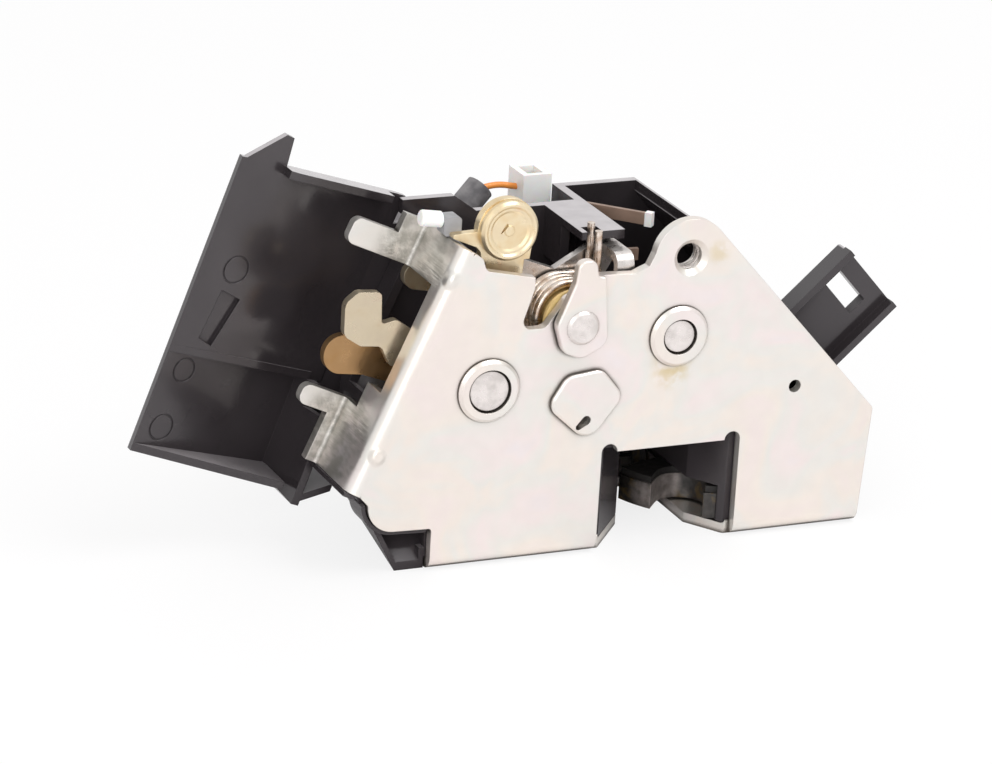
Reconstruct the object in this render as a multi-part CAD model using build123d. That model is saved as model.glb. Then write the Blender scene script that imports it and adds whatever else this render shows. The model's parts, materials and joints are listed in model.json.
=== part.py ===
"""Door latch actuator: bent steel side plate with fishmouth, rotor and pawl, lever stack and lock drive.

Coordinates while modelling: X to the right along the side plate's lower edge, Y back from its front face,
Z up from the underside of the shut face.  Every piece is moved at the end so that the origin sits on the
underside of the shut face, on the axis of its left rear threaded hole.
"""
from build123d import *
from math import asin, atan2, cos, degrees, hypot, radians, sin, tan
import os

# ---------------------------------------------------------------- driving dimensions, millimetres
sheet = 2.0                    # steel of the side plate
running = 0.05                 # radial clearance of a shaft in its bore
gap = 0.3                      # clearance between pieces that move past each other

# shut face (the floor of the latch)
face_width = 88.1
face_depth = 50.0
face_corner = 9.0              # rear corners cut at 45 degrees
floor_bend = 0.8               # inside radius of the fold between side plate and shut face
thread_r = 2.5                 # M6 core
thread_length = 4.5
thread_boss_r = 4.6
thread_spots = [(8.0, face_depth - 14.0), (81.0, face_depth - 11.5), (16.0, 10.0)]

# fishmouth
mouth_x = 49.5
notch_left = 33.4
notch_right = 61.8
notch_top = 19.8
relief_r = 1.6
throat = 13.0
throat_end = 30.0
funnel_left = 12.0
funnel_right = 9.5

# side plate outline
step_height = 8.5
foot_cut = (-12.6, 14.2)
foot_cut_r = 5.2
shoulder = (89.5, 23.3)
ear_spot = (49.0, 56.4)
ear_r = 7.4
ear_mouth_r = 3.5
top_edge = 54.3
small_hole = (72.5, 29.2)
small_hole_r = 1.25

# leaning fold and its two ears
fold_angle = 66.0
fold_foot = (-16.1, 18.4)
fold_in = 0.6                  # inside radius of the leaning fold
fold_low = -1.4
fold_high = 47.6
flange_depth = 18.0
tab_bend = 0.8
lip_depth = 5.0                # depth of the strip between the ears
low_ear = (-1.4, 12.0)
low_tab = (8.1, 12.0, 8.8)     # from, to along the fold, and reach
high_ear = (38.8, 47.6)
high_tab = (38.8, 43.8, 13.6)
low_root = 2.3
high_root = 4.6
tab_corner = 1.6
deep_lip = (12.0, 17.0, 11.0)     # from, to along the fold, and depth

# posts and shafts through the side plate
post_a = (9.8, 34.4)
post_b = (47.4, 41.5)
post_c = (27.0, 45.5)
drive_arm = 8.4
gear_spot = (post_a[0] + 2 * drive_arm, post_a[1])
post_a_head = 4.15
post_b_head = 3.4
shaft_r = 3.2
collar_r = 6.0
collar_b_r = 5.8
collar_height = 1.0
lever_bore = 3.5
patch_spot = (29.5, 29.2)
button_spot = (13.9, 63.2)
clip_x = (2.3, 5.7)
clip_z = (62.1, 65.6)

# lever layers behind the side plate: front face and thickness
lever_sheet = 1.8
lock_layer = 4.7
outer_layer = 7.1
inner_layer = 11.4
release_layer = 11.4
crank_layer = -2.1
crank_sheet = 1.8
drive_layer = 14.0
transfer_layer = 19.0
transfer_end = (2.9, 50.5)
transfer_elbow = (8.8, 49.4)
transfer_r = 2.6
lock_travel = 14.0             # degrees
fold_window = (14.0, 42.0)     # along the leaning fold, for the levers

# release spring
spring_wire = 1.5
spring_r = 6.2
spring_front = 3.4
spring_turns = 3.75
spring_pitch = 1.62
leg_tops = (61.6, 61.2)
drum_r = 5.1
leg_shift = 1.3                # S-bend of the front leg
leg_shift_foot = 6.0
leg_bend = 1.8
leg_less = 0.02                # a hair thinner than the coil, so that the legs fuse into it

# rotor and pawl on the shut face
rotor_spot = (69.0, 26.0)
pawl_spot = (41.0, face_depth - 8.0)
claw_z = 2.3
claw_sheet = 5.0
jacket = 1.3
pivot_r = 4.0
bridge_z = 12.4
bridge_sheet = 1.8
rivet_head = 1.2
pivot_rivet_r = 4.6
pivot_crown_r = 4.0
bridge_boss_rotor = 8.0
bridge_boss_pawl = 5.4
rotor_hub = 12.0
jaw_r = 23.5
tooth_r = 14.8
closed_turn = -45.0

# latch housing
wall = 1.8
tub_front = sheet + gap
tub_back = 27.0
tub_top = 60.0
base_back = face_depth
rotor_ceiling = bridge_z + bridge_sheet + rivet_head + gap
chamber_floor = rotor_ceiling + wall
finger_swing = 7.0             # degrees of the pawl's finger slot, each way
rim_raise = 63.2
foot_run = 0.77                # depth per height of the foot's slanting back
foot_wall = 1.0
foot_right = -0.3
foot_top = 8.3
ledge_sheet = 1.5
box_wall_foot = 50.5
slant_top = (57.4, 56.6)
slant_foot = 24.6
base_right = 86.3
foot_x = -6.0
hip_along = -1.3
shell_along = 46.5
box_left = 37.4
box_right = 54.5
box_back = 37.0
block_left = 30.6
block_front = 8.4

# wing cover
wing_angle = 20.0
wing_corner = (-51.8, 22.3)
wing_rim = flange_depth + 0.3
wing_wall = 1.5
wing_height = 57.3
wing_low_step = 19.5
wing_pocket_line = 31.0
wing_slope = 0.25
wing_low_slope = 0.34
wing_flat = tub_back + gap
wing_lip = 3.0
wing_pocket = [(5.4, 23.0), (8.6, 22.0), (11.0, 31.5), (6.4, 32.6)]
wing_pocket_depth = 0.8
ejector_marks = [(7.7, 36.8, 2.7), (5.1, 16.5, 2.4), (4.9, 5.2, 2.6)]

# actuator case
case_gap = 0.4                 # wing cover to motor case
case_front = wing_flat + wing_wall + case_gap
case_back = 50.0
case_wall = 1.6
case_top = 54.4
case_recess = 50.0
case_step = 20.4
case_bottom = 21.0
lid_sheet = 1.6
motor_r = 7.3
motor_length = 15.0

# windowed tab on the right
arm_layer = 19.0
arm_sheet = 2.4
arm_reach = 20.0
arm_window = (31.6, 40.0, 12.5, 16.4)

# release lever, hook and finger
hook_x0 = 35.4
hook_width = 3.4
tab_x = (30.6, 32.4)
tab_reach = 19.0

# pawl
pawl_sheet = 4.0
pawl_elbow = (36.0, 29.0)
pawl_finger_spot = (34.8, 15.5)
pawl_boss = 5.6
pawl_arm = 3.2
finger_r = 2.0
finger_top = 25.0
nose_r = 1.6
nose_angle = 110.0

# rotor
jaw_rear = 27.0
jaw_front = 36.0
slot_lean = 4.0
striker_r = 4.8
tooth_angle = 105.0
rim_r = 9.2
pivot_neck = 3.0
rotor_slot_top = 9.2
bridge_waist = 3.0

# lock drive
drive_pin_r = 2.0
axle_r = 3.0
wheel_r = 8.0
wheel_teeth = 20
wheel_front = 37.0
wheel_sheet = 5.0
wheel_back = 43.0
worm_core_r = 1.6
worm_thread_r = 2.1
worm_pitch = 2.2
motor_axis = (39.5, gear_spot[1] + wheel_r + worm_thread_r + 0.7)
motor_start = 3.6
motor_flat = 6.6
worm_shaft_r = 1.0
worm_length = 10.0

# box, arm, wing and case details
box_bottom = 39.2
arm_along = (28.5, 44.9)
wing_right = 41.5
panel_right = 40.6
wing_rib = 34.3
wing_rib_height = 14.8
wing_roof_end = 34.0
wing_seam = -0.4
panel_along = (-1.0, 43.0)     # from, to along the leaning fold
panel_lap = 0.9
case_right = 43.2
screw_boss_r = 2.6
screw_core_r = 1.1
lid_screws = [(0.6, 42.0), (34.0, 46.9), (39.8, 24.4), (13.4, 24.6)]

# wire, its sleeve and connector, contacts
sleeve_end = (23.0, 38.0, 60.1)
sleeve_dir = (0.73, 0.25, 0.63)
sleeve_r = 2.75
sleeve_bore = 2.35
outlet_r = 2.4
sleeve_length = 13.0
wire_r = 0.6
wire_route = [(15.7, 35.5, 53.8), (19.5, 36.85, 57.2), (22.9, 38.0, 59.9), (26.8, 38.3, 60.3),
              (30.9, 38.4, 59.5)]
connector_x = (30.6, 36.4)
connector_y = (35.2, 42.0)
connector_top = 62.6
contact_spots = [((39.1, 26.2), (47.7, 17.3), 57.4), ((39.1, 19.0), (47.0, 18.2), 50.3)]
contact_sheet = 0.9
contact_height = 2.3

origin = (thread_spots[0][0], thread_spots[0][1], 0.0)


# ---------------------------------------------------------------- helpers
def slab(sketch, front, back):
    """Solid from an XZ sketch, between two depths behind the side plate's front face."""
    return extrude(Plane.XZ.offset(-front) * sketch, amount=back - front, dir=(0, 1, 0))


def layer(sketch, low, high):
    """Solid from an XY sketch, between two heights."""
    return extrude(Pos(0, 0, low) * sketch, amount=high - low, dir=(0, 0, 1))


def one(shape):
    """The shape's touching solids fused into one."""
    first, *others = shape.solids()
    return first.fuse(*others).clean() if others else shape


def rounded(points, radii):
    """Face with the given corners, each with its own radius."""
    return make_face(FilletPolyline(*points, radius=radii, close=True))


def disc(spot, radius):
    return Pos(*spot) * Circle(radius)


def link(start, end, start_r, end_r):
    """Tangent outline round two discs."""
    return make_hull(disc(start, start_r).edges() + disc(end, end_r).edges())


def block(x0, x1, y0, y1, z0, z1):
    return Pos((x0 + x1) / 2, (y0 + y1) / 2, (z0 + z1) / 2) * Box(x1 - x0, y1 - y0, z1 - z0)


def turned(profile, spot):
    """Revolve (radius, depth) points about a Y axis through spot."""
    face = make_face(Polyline(*[(r, d, 0) for r, d in profile], close=True))
    return Pos(spot[0], 0, spot[1]) * revolve(face, Axis.Y)


def upright(profile, spot):
    """Revolve (radius, height) points about a Z axis through spot."""
    face = make_face(Polyline(*[(r, 0, h) for r, h in profile], close=True))
    return Pos(spot[0], spot[1], 0) * revolve(face, Axis.Z)


def fold_point(along, out):
    """Point of the side plate's XZ plane, from the leaning fold's foot."""
    lean = radians(fold_angle)
    x = fold_foot[0] + along * cos(lean) - out * sin(lean)
    z = fold_foot[1] + along * sin(lean) + out * cos(lean)
    return (x, z)


def polar(spot, radius, angle):
    return (spot[0] + radius * cos(radians(angle)), spot[1] + radius * sin(radians(angle)))


# ---------------------------------------------------------------- side plate
def side_plate():
    fold_out = fold_in + sheet
    floor_out = floor_bend + sheet
    low = fold_point(fold_low, -fold_out)
    high = fold_point(fold_high, -fold_out)
    reach = hypot(shoulder[0] - ear_spot[0], shoulder[1] - ear_spot[1])
    heading = (degrees(atan2(ear_spot[1] - shoulder[1], ear_spot[0] - shoulder[0]))
               - degrees(asin(ear_r / reach)))
    tangent = polar(ear_spot, ear_r, heading - 90)
    points = [(0, floor_out), (0, step_height), (foot_cut[0], step_height + 0.4), foot_cut, low, high,
              (7.4, 59.6),
              (8.2, 57.2), (17.7, 55.2), (37.0, top_edge), (ear_spot[0], top_edge), ear_spot, tangent,
              shoulder, (face_width, floor_out)]
    radii = [0, 0.6, foot_cut_r, 0.5, 0.6, 0.6, 1.0, 1.5, 0, 0, 0, 0, 0, 1.2, 0]
    face = rounded(points, radii) + disc(ear_spot, ear_r)
    x, z = ear_spot
    face += Polygon((x - 11.4, top_edge - 0.1), (x - 8.4, z - 1.0), (x - 7.25, z + 1.4), (x - 4, z + 1.4),
                    (x - 4, top_edge - 0.5), align=None)
    slot = rounded([(15.4, 45.3), (20.4, 45.3), (24.4, 50.6), (29.8, 52.8), (29.8, 58), (17.9, 58),
                    (17.9, 53.0)],
                   [1.7, 1.7, 2.0, 0.8, 0, 0, 2.0])
    face -= slot
    plate = slab(face, 0, sheet)
    plate -= slab(disc(post_a, post_a_head) + disc(post_b, post_b_head) + disc(post_c, shaft_r + running)
                  + disc(small_hole, small_hole_r) + patch_key(), -1, sheet + 1)
    # floor with its fold
    section = (Polyline((0, 0, floor_out), (0, sheet, floor_out)).edges()
               + [ThreePointArc((0, sheet, floor_out),
                                (0, floor_out - floor_bend * cos(radians(45)),
                                 floor_out - floor_bend * sin(radians(45))),
                                (0, floor_out, sheet))]
               + Polyline((0, floor_out, sheet), (0, face_depth, sheet), (0, face_depth, 0),
                          (0, floor_out, 0)).edges()
               + [ThreePointArc((0, floor_out, 0),
                                (0, floor_out - floor_out * cos(radians(45)),
                                 floor_out - floor_out * sin(radians(45))),
                                (0, 0, floor_out))])
    floor = extrude(make_face(section), amount=face_width, dir=(1, 0, 0))
    outline = rounded([(0, -1), (face_width, -1), (face_width, face_depth - face_corner),
                       (face_width - face_corner, face_depth), (face_corner, face_depth),
                       (0, face_depth - face_corner)], [0, 0, 3, 3, 3, 3])
    floor &= layer(outline, -1, floor_out + 1)
    body = plate + floor
    # leaning fold, flange and tabs, as one bent section
    body += leaning_flange(fold_out)
    # fishmouth
    half = throat / 2
    mouth = Polygon((notch_left, -1), (notch_right, -1), (notch_right, 0.6), (mouth_x + half, funnel_right),
                    (mouth_x + half, throat_end - half), (mouth_x - half, throat_end - half),
                    (mouth_x - half, funnel_left), (notch_left, 0.6), align=None)
    body -= layer(mouth + disc((mouth_x, throat_end - half), half), -1, floor_out + 1)
    notch = Polygon((notch_left, -1), (notch_right, -1), (notch_right, notch_top), (notch_left, notch_top),
                    align=None)
    notch += (disc((notch_left + relief_r, notch_top), relief_r)
              + disc((notch_right - relief_r, notch_top), relief_r))
    body -= slab(notch, -1, sheet)
    # threaded holes: extruded collars on the shut face and on the ear
    for spot in thread_spots:
        body += layer(disc(spot, thread_boss_r), sheet, thread_length)
        body -= layer(disc(spot, thread_r), -1, thread_length + 1)
    for spot in (rotor_spot, pawl_spot):
        body -= layer(disc(spot, pivot_r), -1, sheet + 1)
    body += slab(disc(ear_spot, thread_boss_r), sheet, thread_length)
    body -= slab(disc(ear_spot, thread_r), -1, thread_length + 1)
    body -= turned([(0, -1), (ear_mouth_r + 1, -1), (thread_r, ear_mouth_r - thread_r),
                    (0, ear_mouth_r - thread_r)],
                   ear_spot)
    return body


def leaning_flange(fold_out):
    """Bent strip along the leaning fold: a shallow lip with an ear at each end, turned out into tabs."""
    back = flange_depth
    front = flange_depth - sheet
    turn_in = front - tab_bend
    half = cos(radians(45))

    def section(reach):
        edges = [Line((-fold_out, 0), (-fold_out, sheet)),
                 ThreePointArc((-fold_out, sheet), (-fold_out + fold_in * half, fold_out - fold_in * half),
                               (-sheet, fold_out)),
                 Line((-sheet, fold_out), (-sheet, turn_in)),
                 ThreePointArc((-sheet, turn_in),
                               (tab_bend - (tab_bend + sheet) * half, turn_in + (tab_bend + sheet) * half),
                               (tab_bend, back)),
                 Line((tab_bend, back), (reach, back)), Line((reach, back), (reach, front)),
                 Line((reach, front), (tab_bend, front)),
                 ThreePointArc((tab_bend, front), (tab_bend - tab_bend * half, turn_in + tab_bend * half),
                               (0, turn_in)),
                 Line((0, turn_in), (0, fold_out)),
                 ThreePointArc((0, fold_out), (-fold_out + fold_out * half, fold_out - fold_out * half),
                               (-fold_out, 0))]
        return make_face(edges)

    # section plane: local x points out of the fold, local y back, its normal down along the fold
    lean = radians(fold_angle)
    out_dir = (-sin(lean), 0, cos(lean))
    along_dir = (cos(lean), 0, sin(lean))

    def strip(face, start, end):
        foot = fold_point(start, 0)
        plane = Plane(origin=(foot[0], 0, foot[1]), x_dir=out_dir, z_dir=along_dir)
        turned_face = plane * (Rot(0, 0, 180) * mirror(face,
                                                       Plane.YZ)) if (plane.y_dir.Y < 0) else plane * face
        return extrude(turned_face, amount=end - start, dir=along_dir)

    def cut(start, end, near, far):
        """Block beyond a given reach, between two stations of the fold."""
        foot = fold_point(start, 0)
        plane = Plane(origin=(foot[0], 0, foot[1]), x_dir=out_dir, z_dir=along_dir)
        face = plane * Polygon((near, -1), (far, -1), (far, back + 1), (near, back + 1), align=None)
        if plane.y_dir.Y < 0:
            face = plane * Polygon((near, 1), (far, 1), (far, -back - 1), (near, -back - 1), align=None)
        return extrude(face, amount=end - start, dir=along_dir)

    ears = strip(section(low_tab[2]), *low_ear) + strip(section(high_tab[2]), *high_ear)
    ears -= cut(low_ear[0] - 1, low_tab[0], low_root, 30)
    ears -= cut(high_tab[1], high_ear[1] + 1, high_root, 30)
    for tab, root in ((low_tab, low_root), (high_tab, high_root)):
        start, end, reach = tab
        field = Polygon(fold_point(start - 1, root + 0.3), fold_point(start - 1, reach + 1),
                        fold_point(end + 1, reach + 1),
                        fold_point(end + 1, root + 0.3), align=None)
        keep = rounded([fold_point(start, root), fold_point(start, reach), fold_point(end, reach),
                        fold_point(end, root)],
                       [0, tab_corner, tab_corner, 0])
        ears -= slab(field - keep, front - 0.1, back + 0.1)
    lip = strip(section(high_tab[2]), fold_low, fold_high)
    lip -= block(-60, 60, lip_depth, 40, -20, 90)
    deep = strip(section(high_tab[2]), deep_lip[0] - 0.1, deep_lip[1])
    deep -= block(-60, 60, deep_lip[2], 40, -20, 90)
    return ears + lip + deep


# ---------------------------------------------------------------- posts, collars and plates on the plate
def post(spot, head_r, shank_r, rear_r):
    """Shouldered post riveted into the side plate and seated in the housing's back wall."""
    seat = tub_back - wall
    return turned([(0, -0.5), (head_r - 0.4, -0.5), (head_r, -0.1), (head_r, sheet), (shank_r, sheet),
                   (shank_r, seat),
                   (rear_r, seat), (rear_r, tub_back), (0, tub_back)], spot)


def collar(spot, inner, outer):
    ring = turned([(inner, 0), (inner, -collar_height), (outer - 0.6, -collar_height),
                   (outer, -collar_height + 0.6),
                   (outer, 0)], spot)
    return ring


def patch_key():
    """Keyhole through the patch plate and the side plate."""
    x, z = patch_spot
    return link((x - 1.7, z - 3.4), (x - 0.2, z - 2.2), 0.55, 0.9)


def patch_plate():
    x, z = patch_spot
    face = rounded([(x + 2.6, z + 7.4), (x + 7.2, z + 1.8), (x + 0.6, z - 6.8), (x - 8.0, z + 0.9),
                    (x - 4.4, z + 6.6)],
                   [2.6, 2.4, 3.4, 2.6, 3.0])
    plate = slab(face, -1.1, 0)
    plate = chamfer(plate.faces().sort_by(Axis.Y)[0].edges(), 0.35)
    return plate - slab(patch_key(), -2, 1)


# ---------------------------------------------------------------- lever stack behind the side plate
def spacer(spot, bore, outer, front, back):
    return slab(disc(spot, outer) - disc(spot, bore), front, back)


def post_spacers():
    """Bushes between the levers on post A."""
    stops = [sheet, lock_layer, outer_layer, inner_layer, transfer_layer, tub_back - wall]
    bushes = None
    for index, start in enumerate(stops[:-1]):
        front = start + (lever_sheet if index else 0) + 0.1
        bush = spacer(post_a, lever_bore, lever_bore + 1.3, front, stops[index + 1] - 0.1)
        bushes = bush if bushes is None else bushes + bush
    return bushes


def outer_lever():
    """Boot-shaped lever that leans out through the window of the fold."""
    boot = rounded([(-15.9, 44.6), (-15.9, 50.8), (-13.4, 52.7), (-8.9, 52.3), (-8.7, 46.2), (-5.8, 46.9),
                    (-1.6, 43.8), (-2.6, 38.4), (-6.6, 38.0), (-8.6, 42.0), (-12.6, 42.4)],
                   [2.0, 2.4, 1.5, 0.9, 0.6, 1.6, 2.2, 1.0, 0.8, 1.4, 1.5])
    face = boot + link((-2.6, 41.2), post_a, 2.6, 6.0) - disc(post_a, lever_bore + running)
    return slab(face, outer_layer, outer_layer + lever_sheet)


def inner_lever():
    """Round-tongued lever behind the boot-shaped one."""
    face = link((-14.2, 39.5), (-8.4, 37.8), 3.7, 2.7) + link((-8.4, 37.8), post_a, 3.0, 6.0)
    face -= disc(post_a, lever_bore + running)
    return slab(face, inner_layer, inner_layer + lever_sheet)


def lock_lever():
    """Round-headed lever with a tail for the rod clip and a slotted arm for the drive pin."""
    face = link(post_a, (14.0, 58.0), 6.0, 3.6) + disc(button_spot, 5.8) + Polygon((9.2, 57.2),
                                                                                   (18.6, 57.2), (19.3, 62),
                                                                         (8.4, 62), align=None)
    face += rounded([(3.4, 62.2), (3.4, 62.9), (8.6, 63.1), (12.0, 62.0), (12.0, 58.6), (9.4, 58.6),
                     (8.1, 60.2)],
                    [0.2, 0.2, 0, 0, 0, 0, 0.4])
    # hollow of its right edge, for the spring's coil at the end of its travel
    reach = hypot(post_c[0] - post_a[0], post_c[1] - post_a[1])
    bearing = degrees(atan2(post_c[1] - post_a[1], post_c[0] - post_a[0]))
    face -= disc(polar(post_a, reach, bearing + lock_travel), spring_r + spring_wire / 2 + gap)
    pin = (post_a[0] + drive_arm, post_a[1])
    face += link(post_a, pin, 5.0, 3.8)
    face -= link((pin[0] - 0.2, pin[1]), (pin[0] + 0.9, pin[1]), drive_pin_r + gap, drive_pin_r + gap)
    face -= disc(post_a, lever_bore + running)
    return slab(face, lock_layer, lock_layer + lever_sheet)


def transfer_lever():
    """Rear lever of the lock, on the same post and pin, its round end inside the window of the fold."""
    pin = (post_a[0] + drive_arm, post_a[1])
    face = (link(transfer_end, transfer_elbow, transfer_r, transfer_r)
            + link(transfer_elbow, post_a, transfer_r, 5.0))
    face += link(post_a, pin, 5.0, 3.8)
    face -= link((pin[0] - 0.2, pin[1]), (pin[0] + 0.9, pin[1]), drive_pin_r + gap, drive_pin_r + gap)
    face -= disc(post_a, lever_bore + running)
    return slab(face, transfer_layer, transfer_layer + lever_sheet)


def lock_button():
    """Dished button riveted to the head of the lock lever."""
    front = lock_layer - 1.7
    cup = turned([(0, lock_layer), (5.6, lock_layer), (5.6, front + 0.6), (5.1, front), (4.7, front),
                  (4.3, front + 0.35),
                  (3.9, front + 0.35), (3.4, front + 0.65), (1.05, front + 0.75), (0.9, front + 0.5),
                  (0, front + 0.5)],
                 button_spot)
    x, z = button_spot
    return cup - slab(link((x - 1.5, z - 0.4), (x - 0.5, z + 1.1), 0.12, 0.24), front - 1, front + 1.3)


def rod_clip():
    back = lock_layer + lever_sheet
    body = block(clip_x[0], clip_x[1], back, back + 3.4, clip_z[0], clip_z[1])
    return fillet(body.edges().filter_by(Axis.Y), 0.7)


def rod_pin():
    """Nylon end that holds the lock rod in the clip."""
    axis = Plane(origin=(clip_x[0], lock_layer + lever_sheet + 1.7, 64.9), x_dir=(0, 1, 0),
                 z_dir=(-1, 0, 0.15))
    pin = extrude(axis * Circle(1.5), amount=4.2)
    pin = fillet(pin.faces().sort_by(Axis.X)[0].edges(), 0.5)
    return pin - block(clip_x[0], 10, 0, 30, 55, 75)


def release_lever():
    """Three-armed lever: a tail to the left, a finger down to the pawl and a hook over the side plate."""
    left = link(post_c, (13.6, 55.2), 6.4, 2.0)
    right = link(post_c, (36.0, 54.4), 6.0, 2.8)
    down = link(post_c, (tab_x[0] + 1.0, 24.5), 5.0, 3.0)
    face = left + right + down - disc(post_c, shaft_r)
    plate = slab(face, release_layer, release_layer + lever_sheet)
    back = release_layer + lever_sheet
    y0 = sheet + 0.6
    points = [(0, back, 54.0), (0, back, 57.2), (0, y0, 57.2), (0, y0, 53.2), (0, y0 + 1.6, 53.2),
              (0, y0 + 1.6, 55.6),
              (0, release_layer, 55.6), (0, release_layer, 54.0)]
    profile = make_face(FilletPolyline(*points, radius=[0, 1.4, 2.4, 0, 0, 0.9, 0.4, 0], close=True))
    hook = extrude(Pos(hook_x0, 0, 0) * profile, amount=hook_width, dir=(1, 0, 0))
    finger = block(tab_x[0], tab_x[1], release_layer, tab_reach, 21.0, 26.5)
    return plate + hook + finger


def release_shaft():
    """Shaft through the side plate that carries the release lever, with a flange inside the spring."""
    seat = tub_back - wall
    return turned([(0, crank_layer - 0.5), (shaft_r - 0.5, crank_layer - 0.5), (shaft_r, crank_layer),
                   (shaft_r, seat),
                   (2.4, seat), (2.4, tub_back), (0, tub_back)], post_c)


def spring_drum():
    front = sheet + gap
    return turned([(shaft_r, front), (shaft_r + 2.6, front), (shaft_r + 2.6, front + 0.8),
                   (drum_r - 0.6, front + 0.8),
                   (drum_r - 0.6, release_layer), (shaft_r, release_layer)], post_c)


def release_crank():
    """Teardrop crank on the outer end of the release shaft."""
    x, z = post_c
    face = rounded([(x - 5.2, z + 0.6), (x - 3.2, z + 5.4), (x - 1.9, z + 8.6), (x - 1.4, z + 12.7),
                    (x + 2.2, z + 12.7),
                    (x + 2.6, z + 9.6), (x + 4.2, z + 9.3), (x + 5.3, z - 3.6), (x + 0.2, z - 6.2),
                    (x - 3.6, z - 4.6)],
                   [2.4, 4.0, 3.0, 1.7, 1.7, 0.6, 0.6, 2.6, 3.0, 2.6])
    plate = slab(face, crank_layer, crank_layer + crank_sheet)
    plate = fillet(plate.faces().sort_by(Axis.Y)[0].edges(), 0.5)
    return plate - slab(disc(post_c, shaft_r), -5, 5)


def release_spring():
    """Coil round the release shaft; both legs stand up at its right, the rear one bent up at the top."""
    wire = spring_wire / 2
    leg = wire - leg_less
    coil = Helix(pitch=spring_pitch, height=spring_pitch * spring_turns, radius=spring_r)
    shape = sweep(Plane(coil @ 0, z_dir=coil % 0) * Circle(wire), path=coil, is_frenet=True)
    start = coil @ 0
    foot = start + Vector(0, 0.4, 0)
    knee = start - Vector(0, leg_shift_foot, 0)
    ankle = knee - Vector(leg_shift, 3.0, 0)
    top = Vector(ankle.X, post_c[1] - leg_tops[0], 0)
    path = FilletPolyline(foot, knee, ankle, top, radius=leg_bend)
    shape += sweep(Plane(foot, z_dir=(0, -1, 0)) * Circle(leg), path=path)
    end = coil @ 1 - Vector(0.4, 0, 0)
    corner = end + Vector(spring_r + 0.4, 0, 0)
    path = FilletPolyline(end, corner, corner + Vector(0, spring_r - (leg_tops[1] - post_c[1]), 0),
                          radius=leg_bend)
    shape += sweep(Plane(end, z_dir=(1, 0, 0)) * Circle(leg), path=path)
    return Pos(post_c[0], spring_front + wire, post_c[1]) * Rot(-90, 0, 0) * shape


# ---------------------------------------------------------------- rotor and pawl on the shut face
def sector(radius, start, end):
    """Pie slice about the origin, angles in degrees."""
    arc = CenterArc((0, 0), radius, start, end - start)
    return make_face([arc.edge(), Line(arc @ 1, (0, 0)), Line((0, 0), arc @ 0)])


def claw_outline(trim=0.0):
    """Rotor outline with the rotor closed: two jaws round the striker's slot and one ratchet tooth."""
    body = Circle(rotor_hub - trim) + sector(jaw_r - trim, 180 - jaw_rear, 180 + jaw_front)
    half = striker_r + gap
    depth = rotor_spot[0] - mouth_x
    slot = (Pos(-jaw_r, 0) * Rectangle(2 * (jaw_r - depth), 2 * half + trim)
            + Pos(-depth, 0) * Circle(half + trim / 2))
    body -= Rot(0, 0, slot_lean) * slot
    tooth = Polygon((0, 0), polar((0, 0), tooth_r - trim, tooth_angle),
                    polar((0, 0), tooth_r - trim, tooth_angle - 9),
                    polar((0, 0), rotor_hub - trim, tooth_angle - 26), align=None)
    return body + tooth


def rotor_claw():
    face = Rot(0, 0, -closed_turn) * claw_outline() - Circle(pivot_r + running)
    return one(layer(Pos(*rotor_spot) * face, claw_z, claw_z + claw_sheet))


def rotor_jacket():
    """Plastic jacket over the rotor's upper face, with a rim round the rotor spring."""
    top = claw_z + claw_sheet
    face = Rot(0, 0, -closed_turn) * claw_outline(0.4) - Circle(pivot_r + 0.6)
    cover = layer(Pos(*rotor_spot) * face, top, top + jacket)
    cover += layer(disc(rotor_spot, rim_r) - disc(rotor_spot, rim_r - 1.5), top, bridge_z - gap)
    return cover


def pivot(spot):
    """Stepped rivet: flush in the shut face, shouldered under the bridge plate."""
    top = bridge_z + bridge_sheet
    return upright([(0, 0), (pivot_r, 0), (pivot_r, bridge_z), (pivot_neck, bridge_z), (pivot_neck, top),
                    (pivot_rivet_r, top), (pivot_crown_r, top + rivet_head), (0, top + rivet_head)], spot)


def bridge_plate():
    """Steel plate that ties the upper ends of the two pivots together."""
    face = (link(rotor_spot, pawl_spot, bridge_waist, bridge_waist) + disc(rotor_spot, bridge_boss_rotor)
            + disc(pawl_spot, bridge_boss_pawl))
    face -= disc(rotor_spot, pivot_neck) + disc(pawl_spot, pivot_neck)
    return layer(face, bridge_z, bridge_z + bridge_sheet)


def pawl():
    """Pawl with its nose over the rotor's tooth and an arm forward to its upright finger."""
    nose = polar(rotor_spot, tooth_r + gap + nose_r, nose_angle)
    face = link(pawl_spot, nose, pawl_arm, nose_r) + disc(pawl_spot, pawl_boss)
    face += (link(pawl_spot, pawl_elbow, pawl_arm, 2.4)
             + link(pawl_elbow, pawl_finger_spot, 2.4, finger_r + 0.4))
    face -= disc(pawl_spot, pivot_r + running) + disc(pawl_finger_spot, finger_r)
    return layer(face, claw_z, claw_z + pawl_sheet)


def pawl_finger():
    return layer(disc(pawl_finger_spot, finger_r), claw_z, finger_top)


def coil_spring(turns, pitch, coil_r, wire_r, legs):
    """Coil about the Z axis from z = 0; each leg is (end, length) tangent to the coil."""
    coil = Helix(pitch=pitch, height=pitch * turns, radius=coil_r)
    shape = sweep(Plane(coil @ 0, z_dir=coil % 0) * Circle(wire_r), path=coil, is_frenet=True)
    for end, length in legs:
        way = (coil % end) * (1 if end else -1)
        shape += extrude(Plane(coil @ end - way * 0.3, z_dir=way) * Circle(wire_r - leg_less),
                         amount=length)
    return shape


def rotor_spring():
    low = claw_z + claw_sheet + jacket + 0.6
    coil = coil_spring(2.25, 1.0, rim_r - 2.3, 0.42, [(1, 1.5)])
    return Pos(rotor_spot[0], rotor_spot[1], low) * coil


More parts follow.
